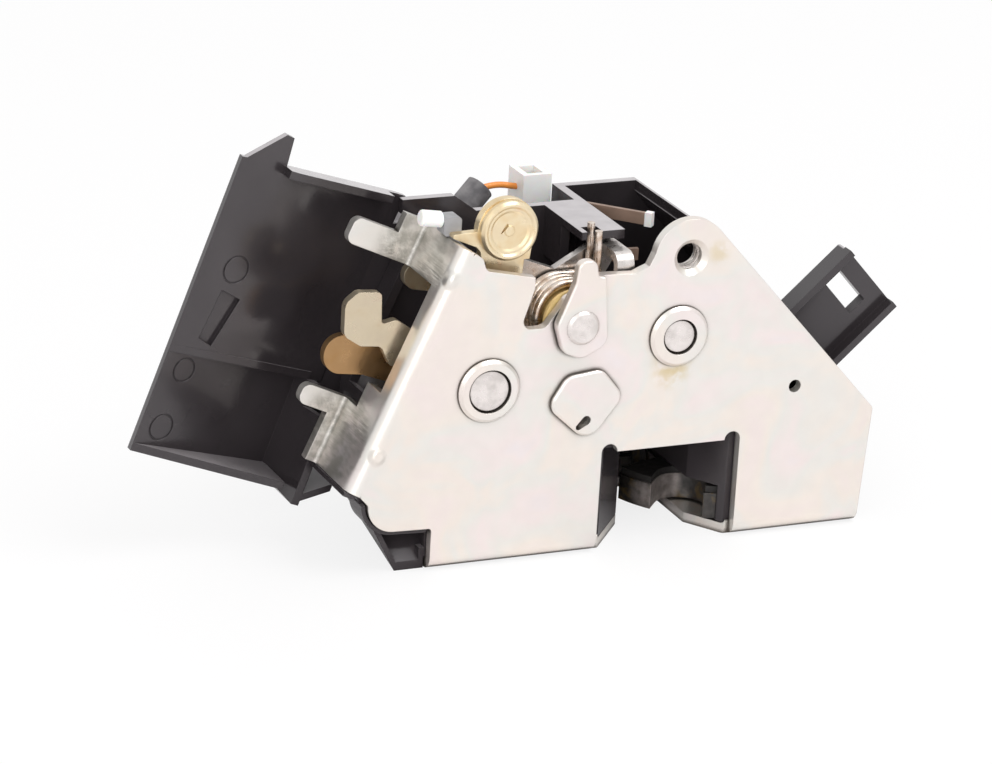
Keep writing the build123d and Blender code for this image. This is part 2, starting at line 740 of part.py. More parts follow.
def pawl_spring():
    low = claw_z + pawl_sheet + gap + 0.5
    coil = coil_spring(3.25, 1.15, pivot_r + 0.9, 0.5, [(0, 6.0), (1, 6.0)])
    return Pos(pawl_spot[0], pawl_spot[1], low) * Rot(0, 0, 215) * coil


def mouth_plan(grow=0.0):
    """Fishmouth seen from above: funnel, throat and round end."""
    half = throat / 2
    face = Polygon((notch_left, 0.6), (notch_right, 0.6), (mouth_x + half, funnel_right),
                   (mouth_x + half, throat_end - half), (mouth_x - half, throat_end - half),
                   (mouth_x - half, funnel_left), align=None)
    face += Polygon((notch_left, -3), (notch_right, -3), (notch_right, 0.6), (notch_left, 0.6), align=None)
    face += disc((mouth_x, throat_end - half), half)
    return offset(face, amount=grow, kind=Kind.INTERSECTION) if grow else face


def bumper():
    """Rubber buffer at the end of the throat, above the rotor."""
    half = throat / 2
    face = mouth_plan() & Pos(mouth_x, throat_end) * Rectangle(throat, 2 * 4.6)
    return layer(face, rotor_slot_top + gap, notch_top - 0.2)


# ---------------------------------------------------------------- latch housing
def tub_outline(inset=0.0):
    """XZ outline of the housing, drawn in by inset."""
    seat = -sheet - 0.15
    top_left = fold_point(shell_along, seat)
    face = Polygon((foot_x, 0), fold_point(hip_along, seat), (top_left[0], tub_top), (box_right, tub_top),
                   slant_top, (base_right, slant_foot),
                   (base_right, sheet + 0.2), (foot_right, sheet + 0.2), (foot_right, 0), align=None)
    return offset(face, amount=-inset, kind=Kind.INTERSECTION) if inset else face


def behind_foot(shift=0.0):
    """Everything behind the slanting back of the foot, left of the shut face; shift moves it forward."""
    low, high = -5.0, 40.0
    near = tub_front - shift
    face = Polygon((near + foot_run * low, low), (near + foot_run * high, high), (60, high), (60, low),
                   align=None)
    return extrude(Plane.YZ.offset(foot_right) * face, amount=60, dir=(-1, 0, 0))


def base_plan(inset=0.0):
    face = Polygon((-0.3, tub_front), (base_right, tub_front), (base_right, base_back - face_corner),
                   (base_right - face_corner, base_back), (face_corner, base_back),
                   (-0.3, base_back - face_corner), align=None)
    return offset(face, amount=-inset, kind=Kind.INTERSECTION) if inset else face


def latch_housing():
    # walls of the lever chamber and its back
    tub = slab(tub_outline(), tub_front, tub_back) - slab(tub_outline(wall), tub_front - 1, tub_back - wall)
    # foot at the left: thinner walls, a slanting back and a rib along the side plate's edge
    pocket = slab(tub_outline(foot_wall), tub_front - 1, tub_back - wall)
    tub -= pocket & block(-60, foot_right - foot_wall, 0, 60, 0, foot_top)
    back = slab(tub_outline(), tub_front, tub_back) & behind_foot(foot_wall * hypot(1, foot_run))
    side = (slab(tub_outline(), tub_front, tub_back)
            & block(foot_right - foot_wall, foot_right, 0, 60, -1, 60))
    side &= behind_foot(foot_wall)
    tub += (back & block(-60, foot_right, 0, 60, -1, 60)) - behind_foot()
    tub -= behind_foot()
    tub += side
    # open lower side over the shut face, floor of the lever chamber and skirt round rotor and pawl
    tub -= block(0.2, base_right - wall, tub_front - 1, tub_back - wall, 0, chamber_floor)
    ring = base_plan() - base_plan(wall)
    tub += layer(ring, sheet + 0.2, chamber_floor)
    tub += layer(base_plan(), rotor_ceiling, chamber_floor)
    tub -= block(wall, base_right - wall, tub_back - wall - 1, tub_back + 1, 0, rotor_ceiling)
    # box at the right, deeper than the chamber; its left wall is cut away over the release lever
    run = (base_right - slant_top[0]) / (slant_top[1] - slant_foot)
    box = Polygon((box_left, box_bottom), (box_left, tub_top), (box_right, tub_top), slant_top,
                  (slant_top[0] + (slant_top[1] - box_bottom) * run, box_bottom), align=None)
    tub += slab(box, tub_back - 0.1, box_back)
    tub -= slab(offset(box, amount=-wall, kind=Kind.INTERSECTION), tub_back - wall - 1, box_back - wall)
    low = tub_top - ledge_sheet
    tub += block(box_left, box_left + wall, block_front, tub_back, low, tub_top)
    tub += block(box_left, box_left + wall, block_front + 6, tub_back, box_wall_foot, low)
    # ledge beside the box, with a rib down its left side
    tub += block(block_left, box_left + 0.1, block_front, tub_back - 0.1, low, tub_top)
    # top stays open in front of the back wall
    tub -= block(6.6, block_left, -1, tub_back - wall, tub_top - wall - 0.1, tub_top + 1)
    tub -= block(box_left + wall, box_right - 0.5, -1, box_back - wall, tub_top - wall - 0.1, tub_top + 1)
    tub -= block(block_left - 1, box_left + wall, -1, block_front, tub_top - wall - 0.1, tub_top + 1)
    tub -= block(block_left - 0.1, box_left, block_front - 1, tub_back - wall, box_wall_foot, low)
    tub += block(block_left, block_left + wall, block_front + 9, tub_back - 0.1, box_wall_foot, low)
    # slot in the ledge for the spring's rear leg
    leg_x = post_c[0] + spring_r
    tub -= block(leg_x - spring_wire, leg_x + spring_wire, 0, release_layer, low - 1, tub_top + 1)
    # cut for the ear
    tub -= slab(disc(ear_spot, ear_r + 2) + Polygon((44, 50.2), (44, 62), (60, 62), (60, 50.2), align=None),
                0, 12.0)
    # raised length of the back wall at the left
    corner = fold_point(shell_along, -sheet - 0.15)
    tub += slab(Polygon((corner[0] - 2.8, tub_top + 0.4), (corner[0] - 2.8, rim_raise),
                        (corner[0] + 7.5, rim_raise),
                        (corner[0] + 12.0, tub_top), (corner[0] + 12.0, tub_top - 2),
                        (corner[0], tub_top - 2), align=None),
                tub_back - wall, tub_back)
    # room for the inside of the leaning fold and its lip
    tub -= slab(Polygon(fold_point(fold_low - 0.3, 3), fold_point(fold_low - 0.3, -fold_in - sheet - 0.2),
                        fold_point(60, -fold_in - sheet - 0.2), fold_point(60, 3), align=None), 0,
                        fold_in + sheet + 0.1)
    # window of the leaning wall for the levers
    low, high = fold_window
    tub -= slab(Polygon(fold_point(low, 8), fold_point(low, -8), fold_point(high, -8), fold_point(high, 8),
                        align=None), tub_front - 1, transfer_layer + lever_sheet + 1)
    # walls and roof of the fishmouth, with a slot for the rotor
    cheeks = mouth_plan(wall) - mouth_plan()
    tub += layer(cheeks, sheet + 0.2, notch_top + wall) & block(0, 90, tub_front, 60, 0, 60)
    tub += layer(mouth_plan(wall), notch_top, notch_top + wall) & block(0, 90, tub_front, 60, 0, 60)
    tub -= layer(mouth_plan(), 0, notch_top)
    tub -= layer(disc(rotor_spot, jaw_r + 0.6), sheet - 1, rotor_slot_top)
    # clearances for the threaded collars and screw ends
    for spot in thread_spots:
        tub -= layer(disc(spot, thread_boss_r + gap), sheet, thread_length + gap)
        tub -= layer(disc(spot, thread_r + 0.8), sheet, rotor_ceiling - 0.1)
    # curved slot for the pawl's finger, seats of posts and shafts
    reach = finger_r + gap
    across, back = pawl_finger_spot[0] - pawl_spot[0], pawl_finger_spot[1] - pawl_spot[1]
    stops = [polar(pawl_spot, hypot(across, back), degrees(atan2(back, across)) + turn)
             for turn in (-finger_swing, 0, finger_swing)]
    slot = link(stops[0], stops[1], reach, reach) + link(stops[1], stops[2], reach, reach)
    tub -= layer(slot, rotor_ceiling - 1, chamber_floor + 1)
    seats = (disc(post_a, 2.4) + disc(post_b, 2.2) + disc(post_c, 2.4 + running)
             + disc(gear_spot, axle_r + running))
    tub -= slab(seats, tub_back - wall - 1, tub_back + 1)
    tub += side_arm()
    return tub


def side_arm():
    """Windowed arm that stands out square from the slanted wall."""
    start = slant_top
    way = Vector(base_right - start[0], 0, slant_foot - start[1]).normalized()
    plane = Plane(origin=(start[0], arm_layer, start[1]), x_dir=way, z_dir=(0, -1, 0))
    near, far = arm_along
    face = Polygon((near, -1.0), (far, -1.0), (far, arm_reach), (near, arm_reach), align=None)
    face = fillet(face.vertices().sort_by(Axis.Y)[-2:], 0.6)
    w = arm_window
    face -= Polygon((w[0], w[2]), (w[1], w[2]), (w[1], w[3]), (w[0], w[3]), align=None)
    arm = extrude(plane * face, amount=arm_sheet, dir=(0, 1, 0))
    ribs = Polygon((near, -1.0), (near + 1.4, -1.0), (near + 1.4, arm_reach), (near, arm_reach), align=None)
    ribs += Polygon((far - 1.4, -1.0), (far, -1.0), (far, arm_reach), (far - 1.4, arm_reach), align=None)
    arm += extrude(plane * ribs, amount=2.4, dir=(0, -1, 0))
    return arm


# ---------------------------------------------------------------- wing cover
def wing_cover():
    """Left cover: a sloping wall with a deeper lower field, and the flat panel behind the housing."""
    slope = radians(wing_angle)
    frame = Plane(origin=(wing_corner[0], 0, wing_corner[1]), x_dir=(cos(slope), 0, -sin(slope)),
                  z_dir=(0, -1, 0))

    def bar(points, low, high):
        """Section of (across, depth) points carried up the wing from low to high."""
        face = make_face(Polyline(*[(a, low, -d) for a, d in points], close=True))
        return extrude(face, amount=high - low, dir=(0, 1, 0))

    def plate(points, front, back):
        """Outline of (across, up) points between two depths."""
        face = Polygon(*points, align=None)
        return extrude(Pos(0, 0, -front) * face, amount=back - front, dir=(0, 0, -1))

    rim = wing_rim
    bend = (wing_flat - rim) / wing_slope
    w = wing_wall
    upper = bar([(0, rim), (bend, wing_flat), (wing_right, wing_flat), (wing_right, wing_flat + w),
                 (bend - 0.2, wing_flat + w), (0, rim + w)], wing_low_step, wing_height)
    deep = rim + wing_low_slope * wing_pocket_line
    lower = bar([(0, rim), (wing_pocket_line, deep), (wing_rib, rim), (wing_rib + w, rim),
                 (wing_pocket_line + w + 0.4, deep + w), (0, rim + w)], 0, wing_low_step)
    # foot of the lower field, its rib trimmed under the lower tab
    lower -= plate([(wing_pocket_line + 1.2, wing_rib_height), (60, wing_rib_height),
                    (60, wing_low_step + 1),
                    (wing_pocket_line + 1.2, wing_low_step + 1)], rim - 1, rim + 6.2)
    step = plate([(0, wing_low_step), (wing_pocket_line + 1.5, wing_low_step),
                  (wing_pocket_line + 1.5, wing_low_step + w),
                  (0, wing_low_step + w)], rim, deep + w)
    step &= bar([(0, rim), (wing_pocket_line + 1.5, rim + wing_slope * wing_pocket_line),
                 (wing_pocket_line + 1.5, deep + w),
                 (0, rim + w)], wing_low_step - 1, wing_low_step + w + 1)
    floor = plate([(0, 0), (wing_pocket_line + 0.5, 0), (wing_pocket_line + 0.5, w), (0, w)], rim, deep + w)
    floor &= bar([(0, rim), (wing_pocket_line + 0.5, rim), (wing_pocket_line + 0.5, deep + w),
                  (0, rim + w)], -1, w + 1)
    roof = plate([(10.1, wing_height - w), (wing_roof_end, wing_height - w), (wing_roof_end, wing_height),
                  (10.1, wing_height)], rim, wing_flat + w)
    roof &= bar([(0, rim), (wing_lip / wing_slope, rim), (bend, wing_flat - wing_lip),
                 (bend, wing_flat + w),
                 (bend - 0.2, wing_flat + w), (0, rim + w)], 40, 70)
    tip = plate([(0.9, wing_height - 0.1), (10.1, wing_height - 0.1), (9.4, 62.7), (7.7, 63.0)], rim,
                rim + 6)
    tip &= bar([(0, rim), (bend, wing_flat), (bend - 0.2, wing_flat + w), (0, rim + w)], 40, 70)
    # channel under the lower ear
    channel = plate([(wing_pocket_line, 0), (wing_rib, -2.2), (wing_rib + w, -2.2), (wing_rib + w, w),
                     (wing_pocket_line, w)],
                    rim, deep + w)
    channel &= bar([(wing_pocket_line, deep), (wing_rib, rim), (wing_rib + w, rim),
                    (wing_pocket_line + w + 0.4, deep + w),
                    (wing_pocket_line, deep + w)], -5, w + 1)
    channel += plate([(wing_rib, -2.2), (wing_rib + 6.6, 2.0), (wing_rib + 6.6, 2.0 + w),
                      (wing_rib, -2.2 + w)],
                     rim, wing_flat + w)

    def sunk(face, slope, depth):
        """What lies over a face drawn on the wing, down to a depth under its sloping surface."""
        body = extrude(face, amount=60, dir=(0, 0, -1))
        return body & bar([(0, 0), (60, 0), (60, rim + slope * 60 + depth), (0, rim + depth)], -5, 60)

    upper -= sunk(Polygon(*wing_pocket, align=None), wing_slope, wing_pocket_depth)
    for across, up, radius in ejector_marks:
        ring = disc((across, up), radius) - disc((across, up), radius - 0.3)
        if up > wing_low_step:
            upper -= sunk(ring, wing_slope, 0.2)
        else:
            lower -= sunk(ring, wing_low_slope, 0.2)
    wing = upper + lower + step + floor + roof + tip + channel
    wing = frame.location * wing
    # trim against the housing and carry the flat panel behind it
    panel = slab(Polygon(fold_point(panel_along[0], panel_lap), (panel_right, 17.8), (panel_right, 38.4),
                         (36.6, 38.4),
                         (36.6, 58.0), fold_point(panel_along[1], panel_lap), align=None), wing_flat,
                         wing_flat + w)
    reach = slab(offset(tub_outline(), amount=gap, kind=Kind.INTERSECTION), -1, tub_back + 0.2)
    wing -= reach
    wing -= slab(Polygon(fold_point(-6, -60), fold_point(-6, -wing_seam), fold_point(60, -wing_seam),
                         fold_point(60, -60),
                         align=None), wing_flat - 0.1, 60)
    wing += panel
    wing -= slab(disc(gear_spot, axle_r + 0.4), 20, 40)
    return wing


# ---------------------------------------------------------------- actuator case with motor, worm and wheel
def case_outline(inset=0.0):
    face = Polygon((9.0, case_bottom), (case_right, case_bottom), (case_right, 38.2), (36.6, 38.2),
                   (36.6, case_recess),
                   (case_step, case_recess), (case_step, case_top), (2.3, case_top), (-4.2, 40.0),
                   (-4.2, 36.0),
                   align=None)
    return offset(face, amount=-inset, kind=Kind.INTERSECTION) if inset else face


def actuator_case():
    body = slab(case_outline(), case_front, case_back - lid_sheet)
    body -= slab(case_outline(case_wall), case_front + case_wall, case_back)
    body -= slab(disc(gear_spot, axle_r + running), case_front - 1, case_front + case_wall + 1)
    for spot in lid_screws:
        body += (slab(disc(spot, screw_boss_r), case_front, case_back - lid_sheet)
                 & slab(case_outline(), 0, 60))
        body -= slab(disc(spot, screw_core_r), case_front + 6, case_back)
    # wire outlet under the sleeve's foot
    fall = (sleeve_end[2] - case_top) / sleeve_dir[2]
    spot = (sleeve_end[0] - fall * sleeve_dir[0], sleeve_end[1] - fall * sleeve_dir[1])
    body -= layer(disc(spot, outlet_r), case_top - 3, case_top + 1)
    return body


def actuator_lid():
    lid = slab(case_outline(), case_back - lid_sheet, case_back)
    lid += slab(case_outline(case_wall + 0.15) - case_outline(case_wall + 1.3), case_back - lid_sheet - 1.5,
                case_back - lid_sheet)
    for spot in lid_screws:
        lid -= slab(disc(spot, 2.9), case_back - lid_sheet - 2, case_back - lid_sheet)
        lid -= slab(disc(spot, 1.5), case_back - 3, case_back + 1)
    lid += slab(disc(gear_spot, axle_r + 1.6) - disc(gear_spot, axle_r + running), wheel_back + gap,
                case_back - lid_sheet)
    return lid


def lid_screw_set():
    screws = None
    for spot in lid_screws:
        screw = turned([(0, case_back - 8), (1.1, case_back - 8), (1.1, case_back - lid_sheet),
                        (1.45, case_back - lid_sheet),
                        (1.45, case_back), (2.6, case_back), (2.4, case_back + 1.1), (1.6, case_back + 1.5),
                        (0, case_back + 1.5)], spot)
        screws = screw if screws is None else screws + screw
    return screws


def motor():
    """Can with two flats on its long sides, end boss and shaft seat."""
    y, z = motor_axis
    plane = Plane(origin=(motor_start, y, z), x_dir=(0, 1, 0), z_dir=(1, 0, 0))
    can = extrude(plane * (Circle(motor_r) & Rectangle(2 * motor_flat, 2 * motor_r)), amount=motor_length)
    can = fillet(can.faces().sort_by(Axis.X)[0].edges() + can.faces().sort_by(Axis.X)[-1].edges(), 0.8)
    boss = extrude(plane.offset(motor_length - 0.5) * Circle(3.0), amount=1.5)
    shaft_bore = extrude(plane.offset(motor_length - 5) * Circle(worm_shaft_r + running), amount=10)
    return can + boss - shaft_bore


def worm():
    """Worm on the motor's shaft: a core with a helical thread."""
    y, z = motor_axis
    plane = Plane(origin=(motor_start + motor_length - 4.0, y, z), x_dir=(0, 1, 0), z_dir=(1, 0, 0))
    shaft = extrude(plane * Circle(worm_shaft_r), amount=4.0 + 1.5 + worm_length + 0.6)
    start = plane.offset(4.0 + 1.5)
    core = extrude(start * Circle(worm_core_r), amount=worm_length)
    turn = worm_pitch / 2
    for index in range(int(worm_length / worm_pitch)):
        rib = extrude(start.offset(0.4 + index * worm_pitch) * Circle(worm_thread_r), amount=turn)
        core += rib
    return shaft + core


def worm_wheel():
    """Toothed sector wheel on the output axle."""
    body = disc(gear_spot, wheel_r - 1.0)
    for index in range(wheel_teeth):
        angle = 360.0 * index / wheel_teeth
        tooth = Polygon((wheel_r - 1.6, -1.1), (wheel_r + 0.4, -0.5), (wheel_r + 0.4, 0.5),
                        (wheel_r - 1.6, 1.1), align=None)
        body += Pos(*gear_spot) * Rot(0, 0, angle) * tooth
    wheel = slab(body, wheel_front, wheel_front + wheel_sheet)
    wheel += slab(disc(gear_spot, axle_r + 2.0), case_front + case_wall + gap, wheel_back)
    wheel -= slab(disc(gear_spot, axle_r), 0, 60)
    for index in range(5):
        spot = polar(gear_spot, wheel_r * 0.55, 72 * index + 18)
        wheel -= slab(disc(spot, 1.8), 0, 60)
    return wheel


def drive_axle():
    return turned([(0, drive_layer), (axle_r, drive_layer), (axle_r, case_back - lid_sheet - 0.2),
                   (0, case_back - lid_sheet - 0.2)], gear_spot)


def drive_arm_plate():
    """Arm on the axle's front end whose pin works the lock lever."""
    pin = (gear_spot[0] - drive_arm, gear_spot[1])
    face = link(gear_spot, pin, 4.6, 3.4) - disc(gear_spot, axle_r)
    arm = slab(face, drive_layer, drive_layer + lever_sheet)
    arm += slab(disc(pin, drive_pin_r), lock_layer - 0.2, drive_layer)
    return arm + slab(disc(pin, drive_pin_r), drive_layer + lever_sheet, transfer_layer + lever_sheet + 0.2)


# ---------------------------------------------------------------- electrics on top of the case
def grommet():
    """Rubber sleeve on the wire outlet, leaning to the right."""
    axis = Plane(origin=sleeve_end, x_dir=(0, 1, 0), z_dir=sleeve_dir)
    tube = extrude(axis * (Circle(sleeve_r) - Circle(sleeve_bore)), amount=sleeve_length,
                   dir=tuple(-axis.z_dir))
    return tube - block(0, 40, 20, 60, case_top - 20, case_top)


def orange_wire():
    """Motor wire from the case's outlet to the connector."""
    corners = wire_route[1:-1]
    radii = []
    for before, at, after in zip(wire_route, corners, wire_route[2:]):
        one, two = Vector(at) - Vector(before), Vector(after) - Vector(at)
        radii.append(0.45 * min(one.length, two.length) / tan(radians(one.get_angle(two) / 2)))
    path = FilletPolyline(*wire_route, radius=radii)
    wire = sweep(Plane(origin=path @ 0, z_dir=path % 0) * Circle(wire_r), path=path)
    return wire - block(connector_x[0], 60, 0, 60, 40, 80)


def connector():
    """White two-pin housing, its face cut square to the wire."""
    x0, x1 = connector_x
    y0, y1 = connector_y
    shell = block(x0, x1, y0, y1, case_recess, connector_top)
    shell -= block(x0 + 1.3, x1 - 1.3, y0 + 1.2, y1 - 1.2, case_recess + 2.6, connector_top + 1)
    latch = block(x0 + 1.6, x1 - 1.6, y1, y1 + 0.9, case_recess + 1.0, connector_top - 0.8)
    return shell + latch


def connector_pins():
    x0, x1 = connector_x
    y = (connector_y[0] + connector_y[1]) / 2
    pins = None
    for x in (x0 + (x1 - x0) * 0.36, x0 + (x1 - x0) * 0.64):
        pin = block(x - 0.35, x + 0.35, y - 0.35, y + 0.35, case_recess + 2.6, connector_top - 0.8)
        pins = pin if pins is None else pins + pin
    return pins


def contact_strips():
    """Two brown contact strips held in the box's left wall."""
    strips = None
    for start, end, z in contact_spots:
        way = Vector(end[0] - start[0], end[1] - start[1], 0)
        plane = Plane(origin=(start[0], start[1], z), x_dir=way.normalized(), z_dir=(0, 0, 1))
        strip = extrude(plane * (Pos(way.length / 2, 0) * Rectangle(way.length, contact_sheet)),
                        amount=contact_height,
                        dir=(0, 0, 1))
        strips = strip if strips is None else strips + strip
    return strips & block(box_left + wall, 90, 0, 60, 40, 70)


def contact_tip():
    """White insulating cap on the end of the upper strip."""
    start, end, z = contact_spots[0]
    way = Vector(end[0] - start[0], end[1] - start[1], 0)
    plane = Plane(origin=(end[0], end[1], z - 0.2), x_dir=way.normalized(), z_dir=(0, 0, 1))
    cap = extrude(plane * (Pos(0.7, 0) * Rectangle(1.4, contact_sheet + 0.6)), amount=contact_height + 0.4,
                  dir=(0, 0, 1))
    return cap


parts = {}
parts["side_plate"] = side_plate()
parts["post_a"] = post(post_a, post_a_head, lever_bore, 2.4)
parts["post_b"] = post(post_b, post_b_head, 3.0, 2.2)
parts["rivet_collars"] = collar(post_a, post_a_head, collar_r) + collar(post_b, post_b_head, collar_b_r)
parts["patch_plate"] = patch_plate()
parts["post_spacers"] = post_spacers()
parts["outer_lever"] = outer_lever()
parts["inner_lever"] = inner_lever()
parts["lock_lever"] = lock_lever()
parts["transfer_lever"] = transfer_lever()
parts["lock_button"] = lock_button()
parts["rod_clip"] = rod_clip()
parts["rod_pin"] = rod_pin()
parts["release_lever"] = release_lever()
parts["release_shaft"] = release_shaft()
parts["release_crank"] = release_crank()
parts["spring_drum"] = spring_drum()
parts["release_spring"] = release_spring()
parts["rotor_claw"] = rotor_claw()
parts["rotor_jacket"] = rotor_jacket()
parts["rotor_pivot"] = pivot(rotor_spot)
parts["rotor_spring"] = rotor_spring()
parts["pawl"] = pawl()
parts["pawl_finger"] = pawl_finger()
parts["pawl_pivot"] = pivot(pawl_spot)
parts["pawl_spring"] = pawl_spring()
parts["bridge_plate"] = bridge_plate()
parts["bumper"] = bumper()
parts["latch_housing"] = latch_housing()
parts["wing_cover"] = wing_cover()
parts["actuator_case"] = actuator_case()
parts["actuator_lid"] = actuator_lid()
parts["lid_screws"] = lid_screw_set()
parts["motor"] = motor()
parts["worm"] = worm()
parts["worm_wheel"] = worm_wheel()
parts["drive_axle"] = drive_axle()
parts["drive_arm"] = drive_arm_plate()
parts["grommet"] = grommet()
parts["orange_wire"] = orange_wire()
parts["connector"] = connector()
parts["connector_pins"] = connector_pins()
parts["contact_strips"] = contact_strips()
parts["contact_tip"] = contact_tip()

if __name__ == "__main__":
    os.makedirs("parts", exist_ok=True)
    home = Location((-origin[0], -origin[1], -origin[2]))
    for name, solid in parts.items():
        print(name, round(solid.volume, 1), solid.bounding_box())
        export_step(home * solid, "parts/" + name + ".step")
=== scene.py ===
import bpy
import json
from math import cos, pi, radians, sin
from mathutils import Matrix, Vector


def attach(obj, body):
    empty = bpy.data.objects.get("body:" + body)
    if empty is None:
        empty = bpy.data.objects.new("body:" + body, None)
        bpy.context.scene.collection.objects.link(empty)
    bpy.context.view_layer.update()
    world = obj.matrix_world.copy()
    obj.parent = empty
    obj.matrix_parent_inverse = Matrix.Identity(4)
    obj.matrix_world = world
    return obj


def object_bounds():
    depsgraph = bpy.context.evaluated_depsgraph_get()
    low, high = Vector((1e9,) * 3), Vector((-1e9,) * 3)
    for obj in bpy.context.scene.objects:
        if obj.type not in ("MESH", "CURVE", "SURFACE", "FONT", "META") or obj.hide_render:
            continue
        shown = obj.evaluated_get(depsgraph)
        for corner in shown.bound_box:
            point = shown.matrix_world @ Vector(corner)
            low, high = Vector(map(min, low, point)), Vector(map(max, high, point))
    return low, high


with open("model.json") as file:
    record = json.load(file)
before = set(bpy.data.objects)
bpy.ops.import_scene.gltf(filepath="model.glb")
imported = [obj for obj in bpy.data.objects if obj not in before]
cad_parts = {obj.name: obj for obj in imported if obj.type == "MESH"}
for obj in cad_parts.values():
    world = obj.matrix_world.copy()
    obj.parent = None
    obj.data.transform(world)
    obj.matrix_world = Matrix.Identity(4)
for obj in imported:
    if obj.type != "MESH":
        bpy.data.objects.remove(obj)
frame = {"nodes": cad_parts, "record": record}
cad_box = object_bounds()
nodes = frame["nodes"]
scene = bpy.context.scene
MM = 0.001


# ---------------------------------------------------------------- where things are, in the row frame
def mm(x, y, z):
    """Point given in millimetres from the latch's origin."""
    return Vector((x, y, z)) * MM


PLATE_FRONT = -36.0                       # the side plate's front face
EAR_HOLE = (41.0, 56.4)                   # threaded hole of the ear: x and z
FLOOR_HOLES = [(0.0, 0.0), (73.0, 2.5), (8.0, -26.0)]
THREAD_CORE_R = 2.5
THREAD_PITCH = 1.0
THREAD_DEPTH = 0.28
THREAD_STEPS = 28                         # corners of one turn
EAR_THREAD_START = 1.6                    # behind the side plate's front face
EAR_THREAD_LENGTH = 2.4
FLOOR_THREAD_START = 0.5                  # above the underside of the shut face
FLOOR_THREAD_LENGTH = 3.5


# ---------------------------------------------------------------- shader helpers
class Finish:
    """A Principled material whose texture lies in object space, so that its detail has a real size.

    edge is the radius, in millimetres, by which shading rounds the edges."""

    def __init__(self, name, color, metallic=0.0, edge=0.0, **sockets):
        self.material = bpy.data.materials.new(name)
        self.material.use_nodes = True
        self.tree = self.material.node_tree
        self.shader = self.tree.nodes["Principled BSDF"]
        self.set("Base Color", (*color, 1.0))
        self.set("Metallic", metallic)
        for socket, value in sockets.items():
            self.set(socket.replace("_", " "), value)
        self.place = self.add("ShaderNodeTexCoord").outputs["Object"]
        self.normal = None
        if edge:
            bevel = self.add("ShaderNodeBevel")
            bevel.samples = 4
            bevel.inputs["Radius"].default_value = edge * MM
            self.normal = bevel.outputs["Normal"]
            self.link(self.normal, self.shader.inputs["Normal"])

    def add(self, kind, **settings):
        """New node of the material."""
        node = self.tree.nodes.new(kind)
        for key, value in settings.items():
            setattr(node, key, value)
        return node

    def set(self, socket, value):
        """Constant value of one of the shader's sockets."""
        self.shader.inputs[socket].default_value = value

    def link(self, output, target):
        self.tree.links.new(output, target)

    def stretched(self, stretch):
        """Object coordinates, drawn out along the axes with a small factor."""
        scale = self.add("ShaderNodeMapping")
        scale.inputs["Scale"].default_value = stretch
        self.link(self.place, scale.inputs["Vector"])
        return scale.outputs["Vector"]

    def noise(self, size, detail=2.0, stretch=None, distortion=0.0):
        """Noise whose blobs are about size millimetres across."""
        texture = self.add("ShaderNodeTexNoise")
        texture.inputs["Scale"].default_value = 1.0 / (size * MM)
        texture.inputs["Detail"].default_value = detail
        texture.inputs["Distortion"].default_value = distortion
        self.link(self.stretched(stretch) if stretch else self.place, texture.inputs["Vector"])
        return texture.outputs["Fac"]

    def spot(self, center, radius, soft):
        """1 within radius millimetres of a point, fading to 0 over soft millimetres."""
        away = self.add("ShaderNodeVectorMath", operation="DISTANCE")
        away.inputs[1].default_value = center
        self.link(self.place, away.inputs[0])
        return self.span(away.outputs["Value"], (radius + soft) * MM, radius * MM)

    def span(self, value, low, high, start=0.0, end=1.0):
        """Value mapped from low..high to start..end, with a smooth ease."""
        node = self.add("ShaderNodeMapRange", interpolation_type="SMOOTHSTEP")
        for key, number in zip(("From Min", "From Max", "To Min", "To Max"), (low, high, start, end)):
            node.inputs[key].default_value = number
        self.link(value, node.inputs["Value"])
        return node.outputs["Result"]

    def math(self, operation, first, second):
        """Result of a sum or product; each side is a number or a socket."""
        node = self.add("ShaderNodeMath", operation=operation)
        for socket, value in zip(node.inputs, (first, second)):
            if isinstance(value, float):
                socket.default_value = value
            else:
                self.link(value, socket)
        return node.outputs["Value"]

    def crevice(self, reach, low=0.45, high=0.95):
        """1 in corners and seams within reach millimetres, 0 on open faces."""
        node = self.add("ShaderNodeAmbientOcclusion", samples=8)
        node.inputs["Distance"].default_value = reach * MM
        return self.span(node.outputs["AO"], low, high, 1.0, 0.0)

    def facing_up(self):
        """1 on faces that look up, 0 on upright ones."""
        parts = self.add("ShaderNodeSeparateXYZ")
        self.link(self.add("ShaderNodeNewGeometry").outputs["Normal"], parts.inputs["Vector"])
        return self.span(parts.outputs["Z"], 0.75, 0.97)

    def ramp(self, value, stops):
        """Colour ramp; each stop is a position and a colour."""
        node = self.add("ShaderNodeValToRGB")
        points = node.color_ramp.elements
        while len(points) < len(stops):
            points.new(0.5)
        for point, (position, color) in zip(points, stops):
            point.position = position
            point.color = (*color, 1.0)
        self.link(value, node.inputs["Fac"])
        return node.outputs["Color"]

    def blend(self, factor, first, second):
        """Colour mix; each side is a colour or a socket."""
        node = self.add("ShaderNodeMix", data_type="RGBA")
        sides = [s for s in node.inputs if s.type == "RGBA"]
        for socket, value in zip(sides, (first, second)):
            if isinstance(value, tuple):
                socket.default_value = (*value, 1.0)
            else:
                self.link(value, socket)
        if isinstance(factor, float):
            node.inputs["Factor"].default_value = factor
        else:
            self.link(factor, node.inputs["Factor"])
        return [s for s in node.outputs if s.type == "RGBA"][0]

    def seam_shade(self, reach, color):
        """The colour given, darkened with painted shade in the seams within reach millimetres."""
        seams = self.span(self.crevice(reach, 0.5, 1.0), 0.0, 1.0, 0.0, 0.9)
        self.color(self.blend(seams, color, SEAM_SHADE))

    def color(self, output):
        self.link(output, self.shader.inputs["Base Color"])

    def rough(self, value, low, high):
        """Roughness from low to high as value goes from 0.3 to 0.7."""
        self.link(self.span(value, 0.3, 0.7, low, high), self.shader.inputs["Roughness"])

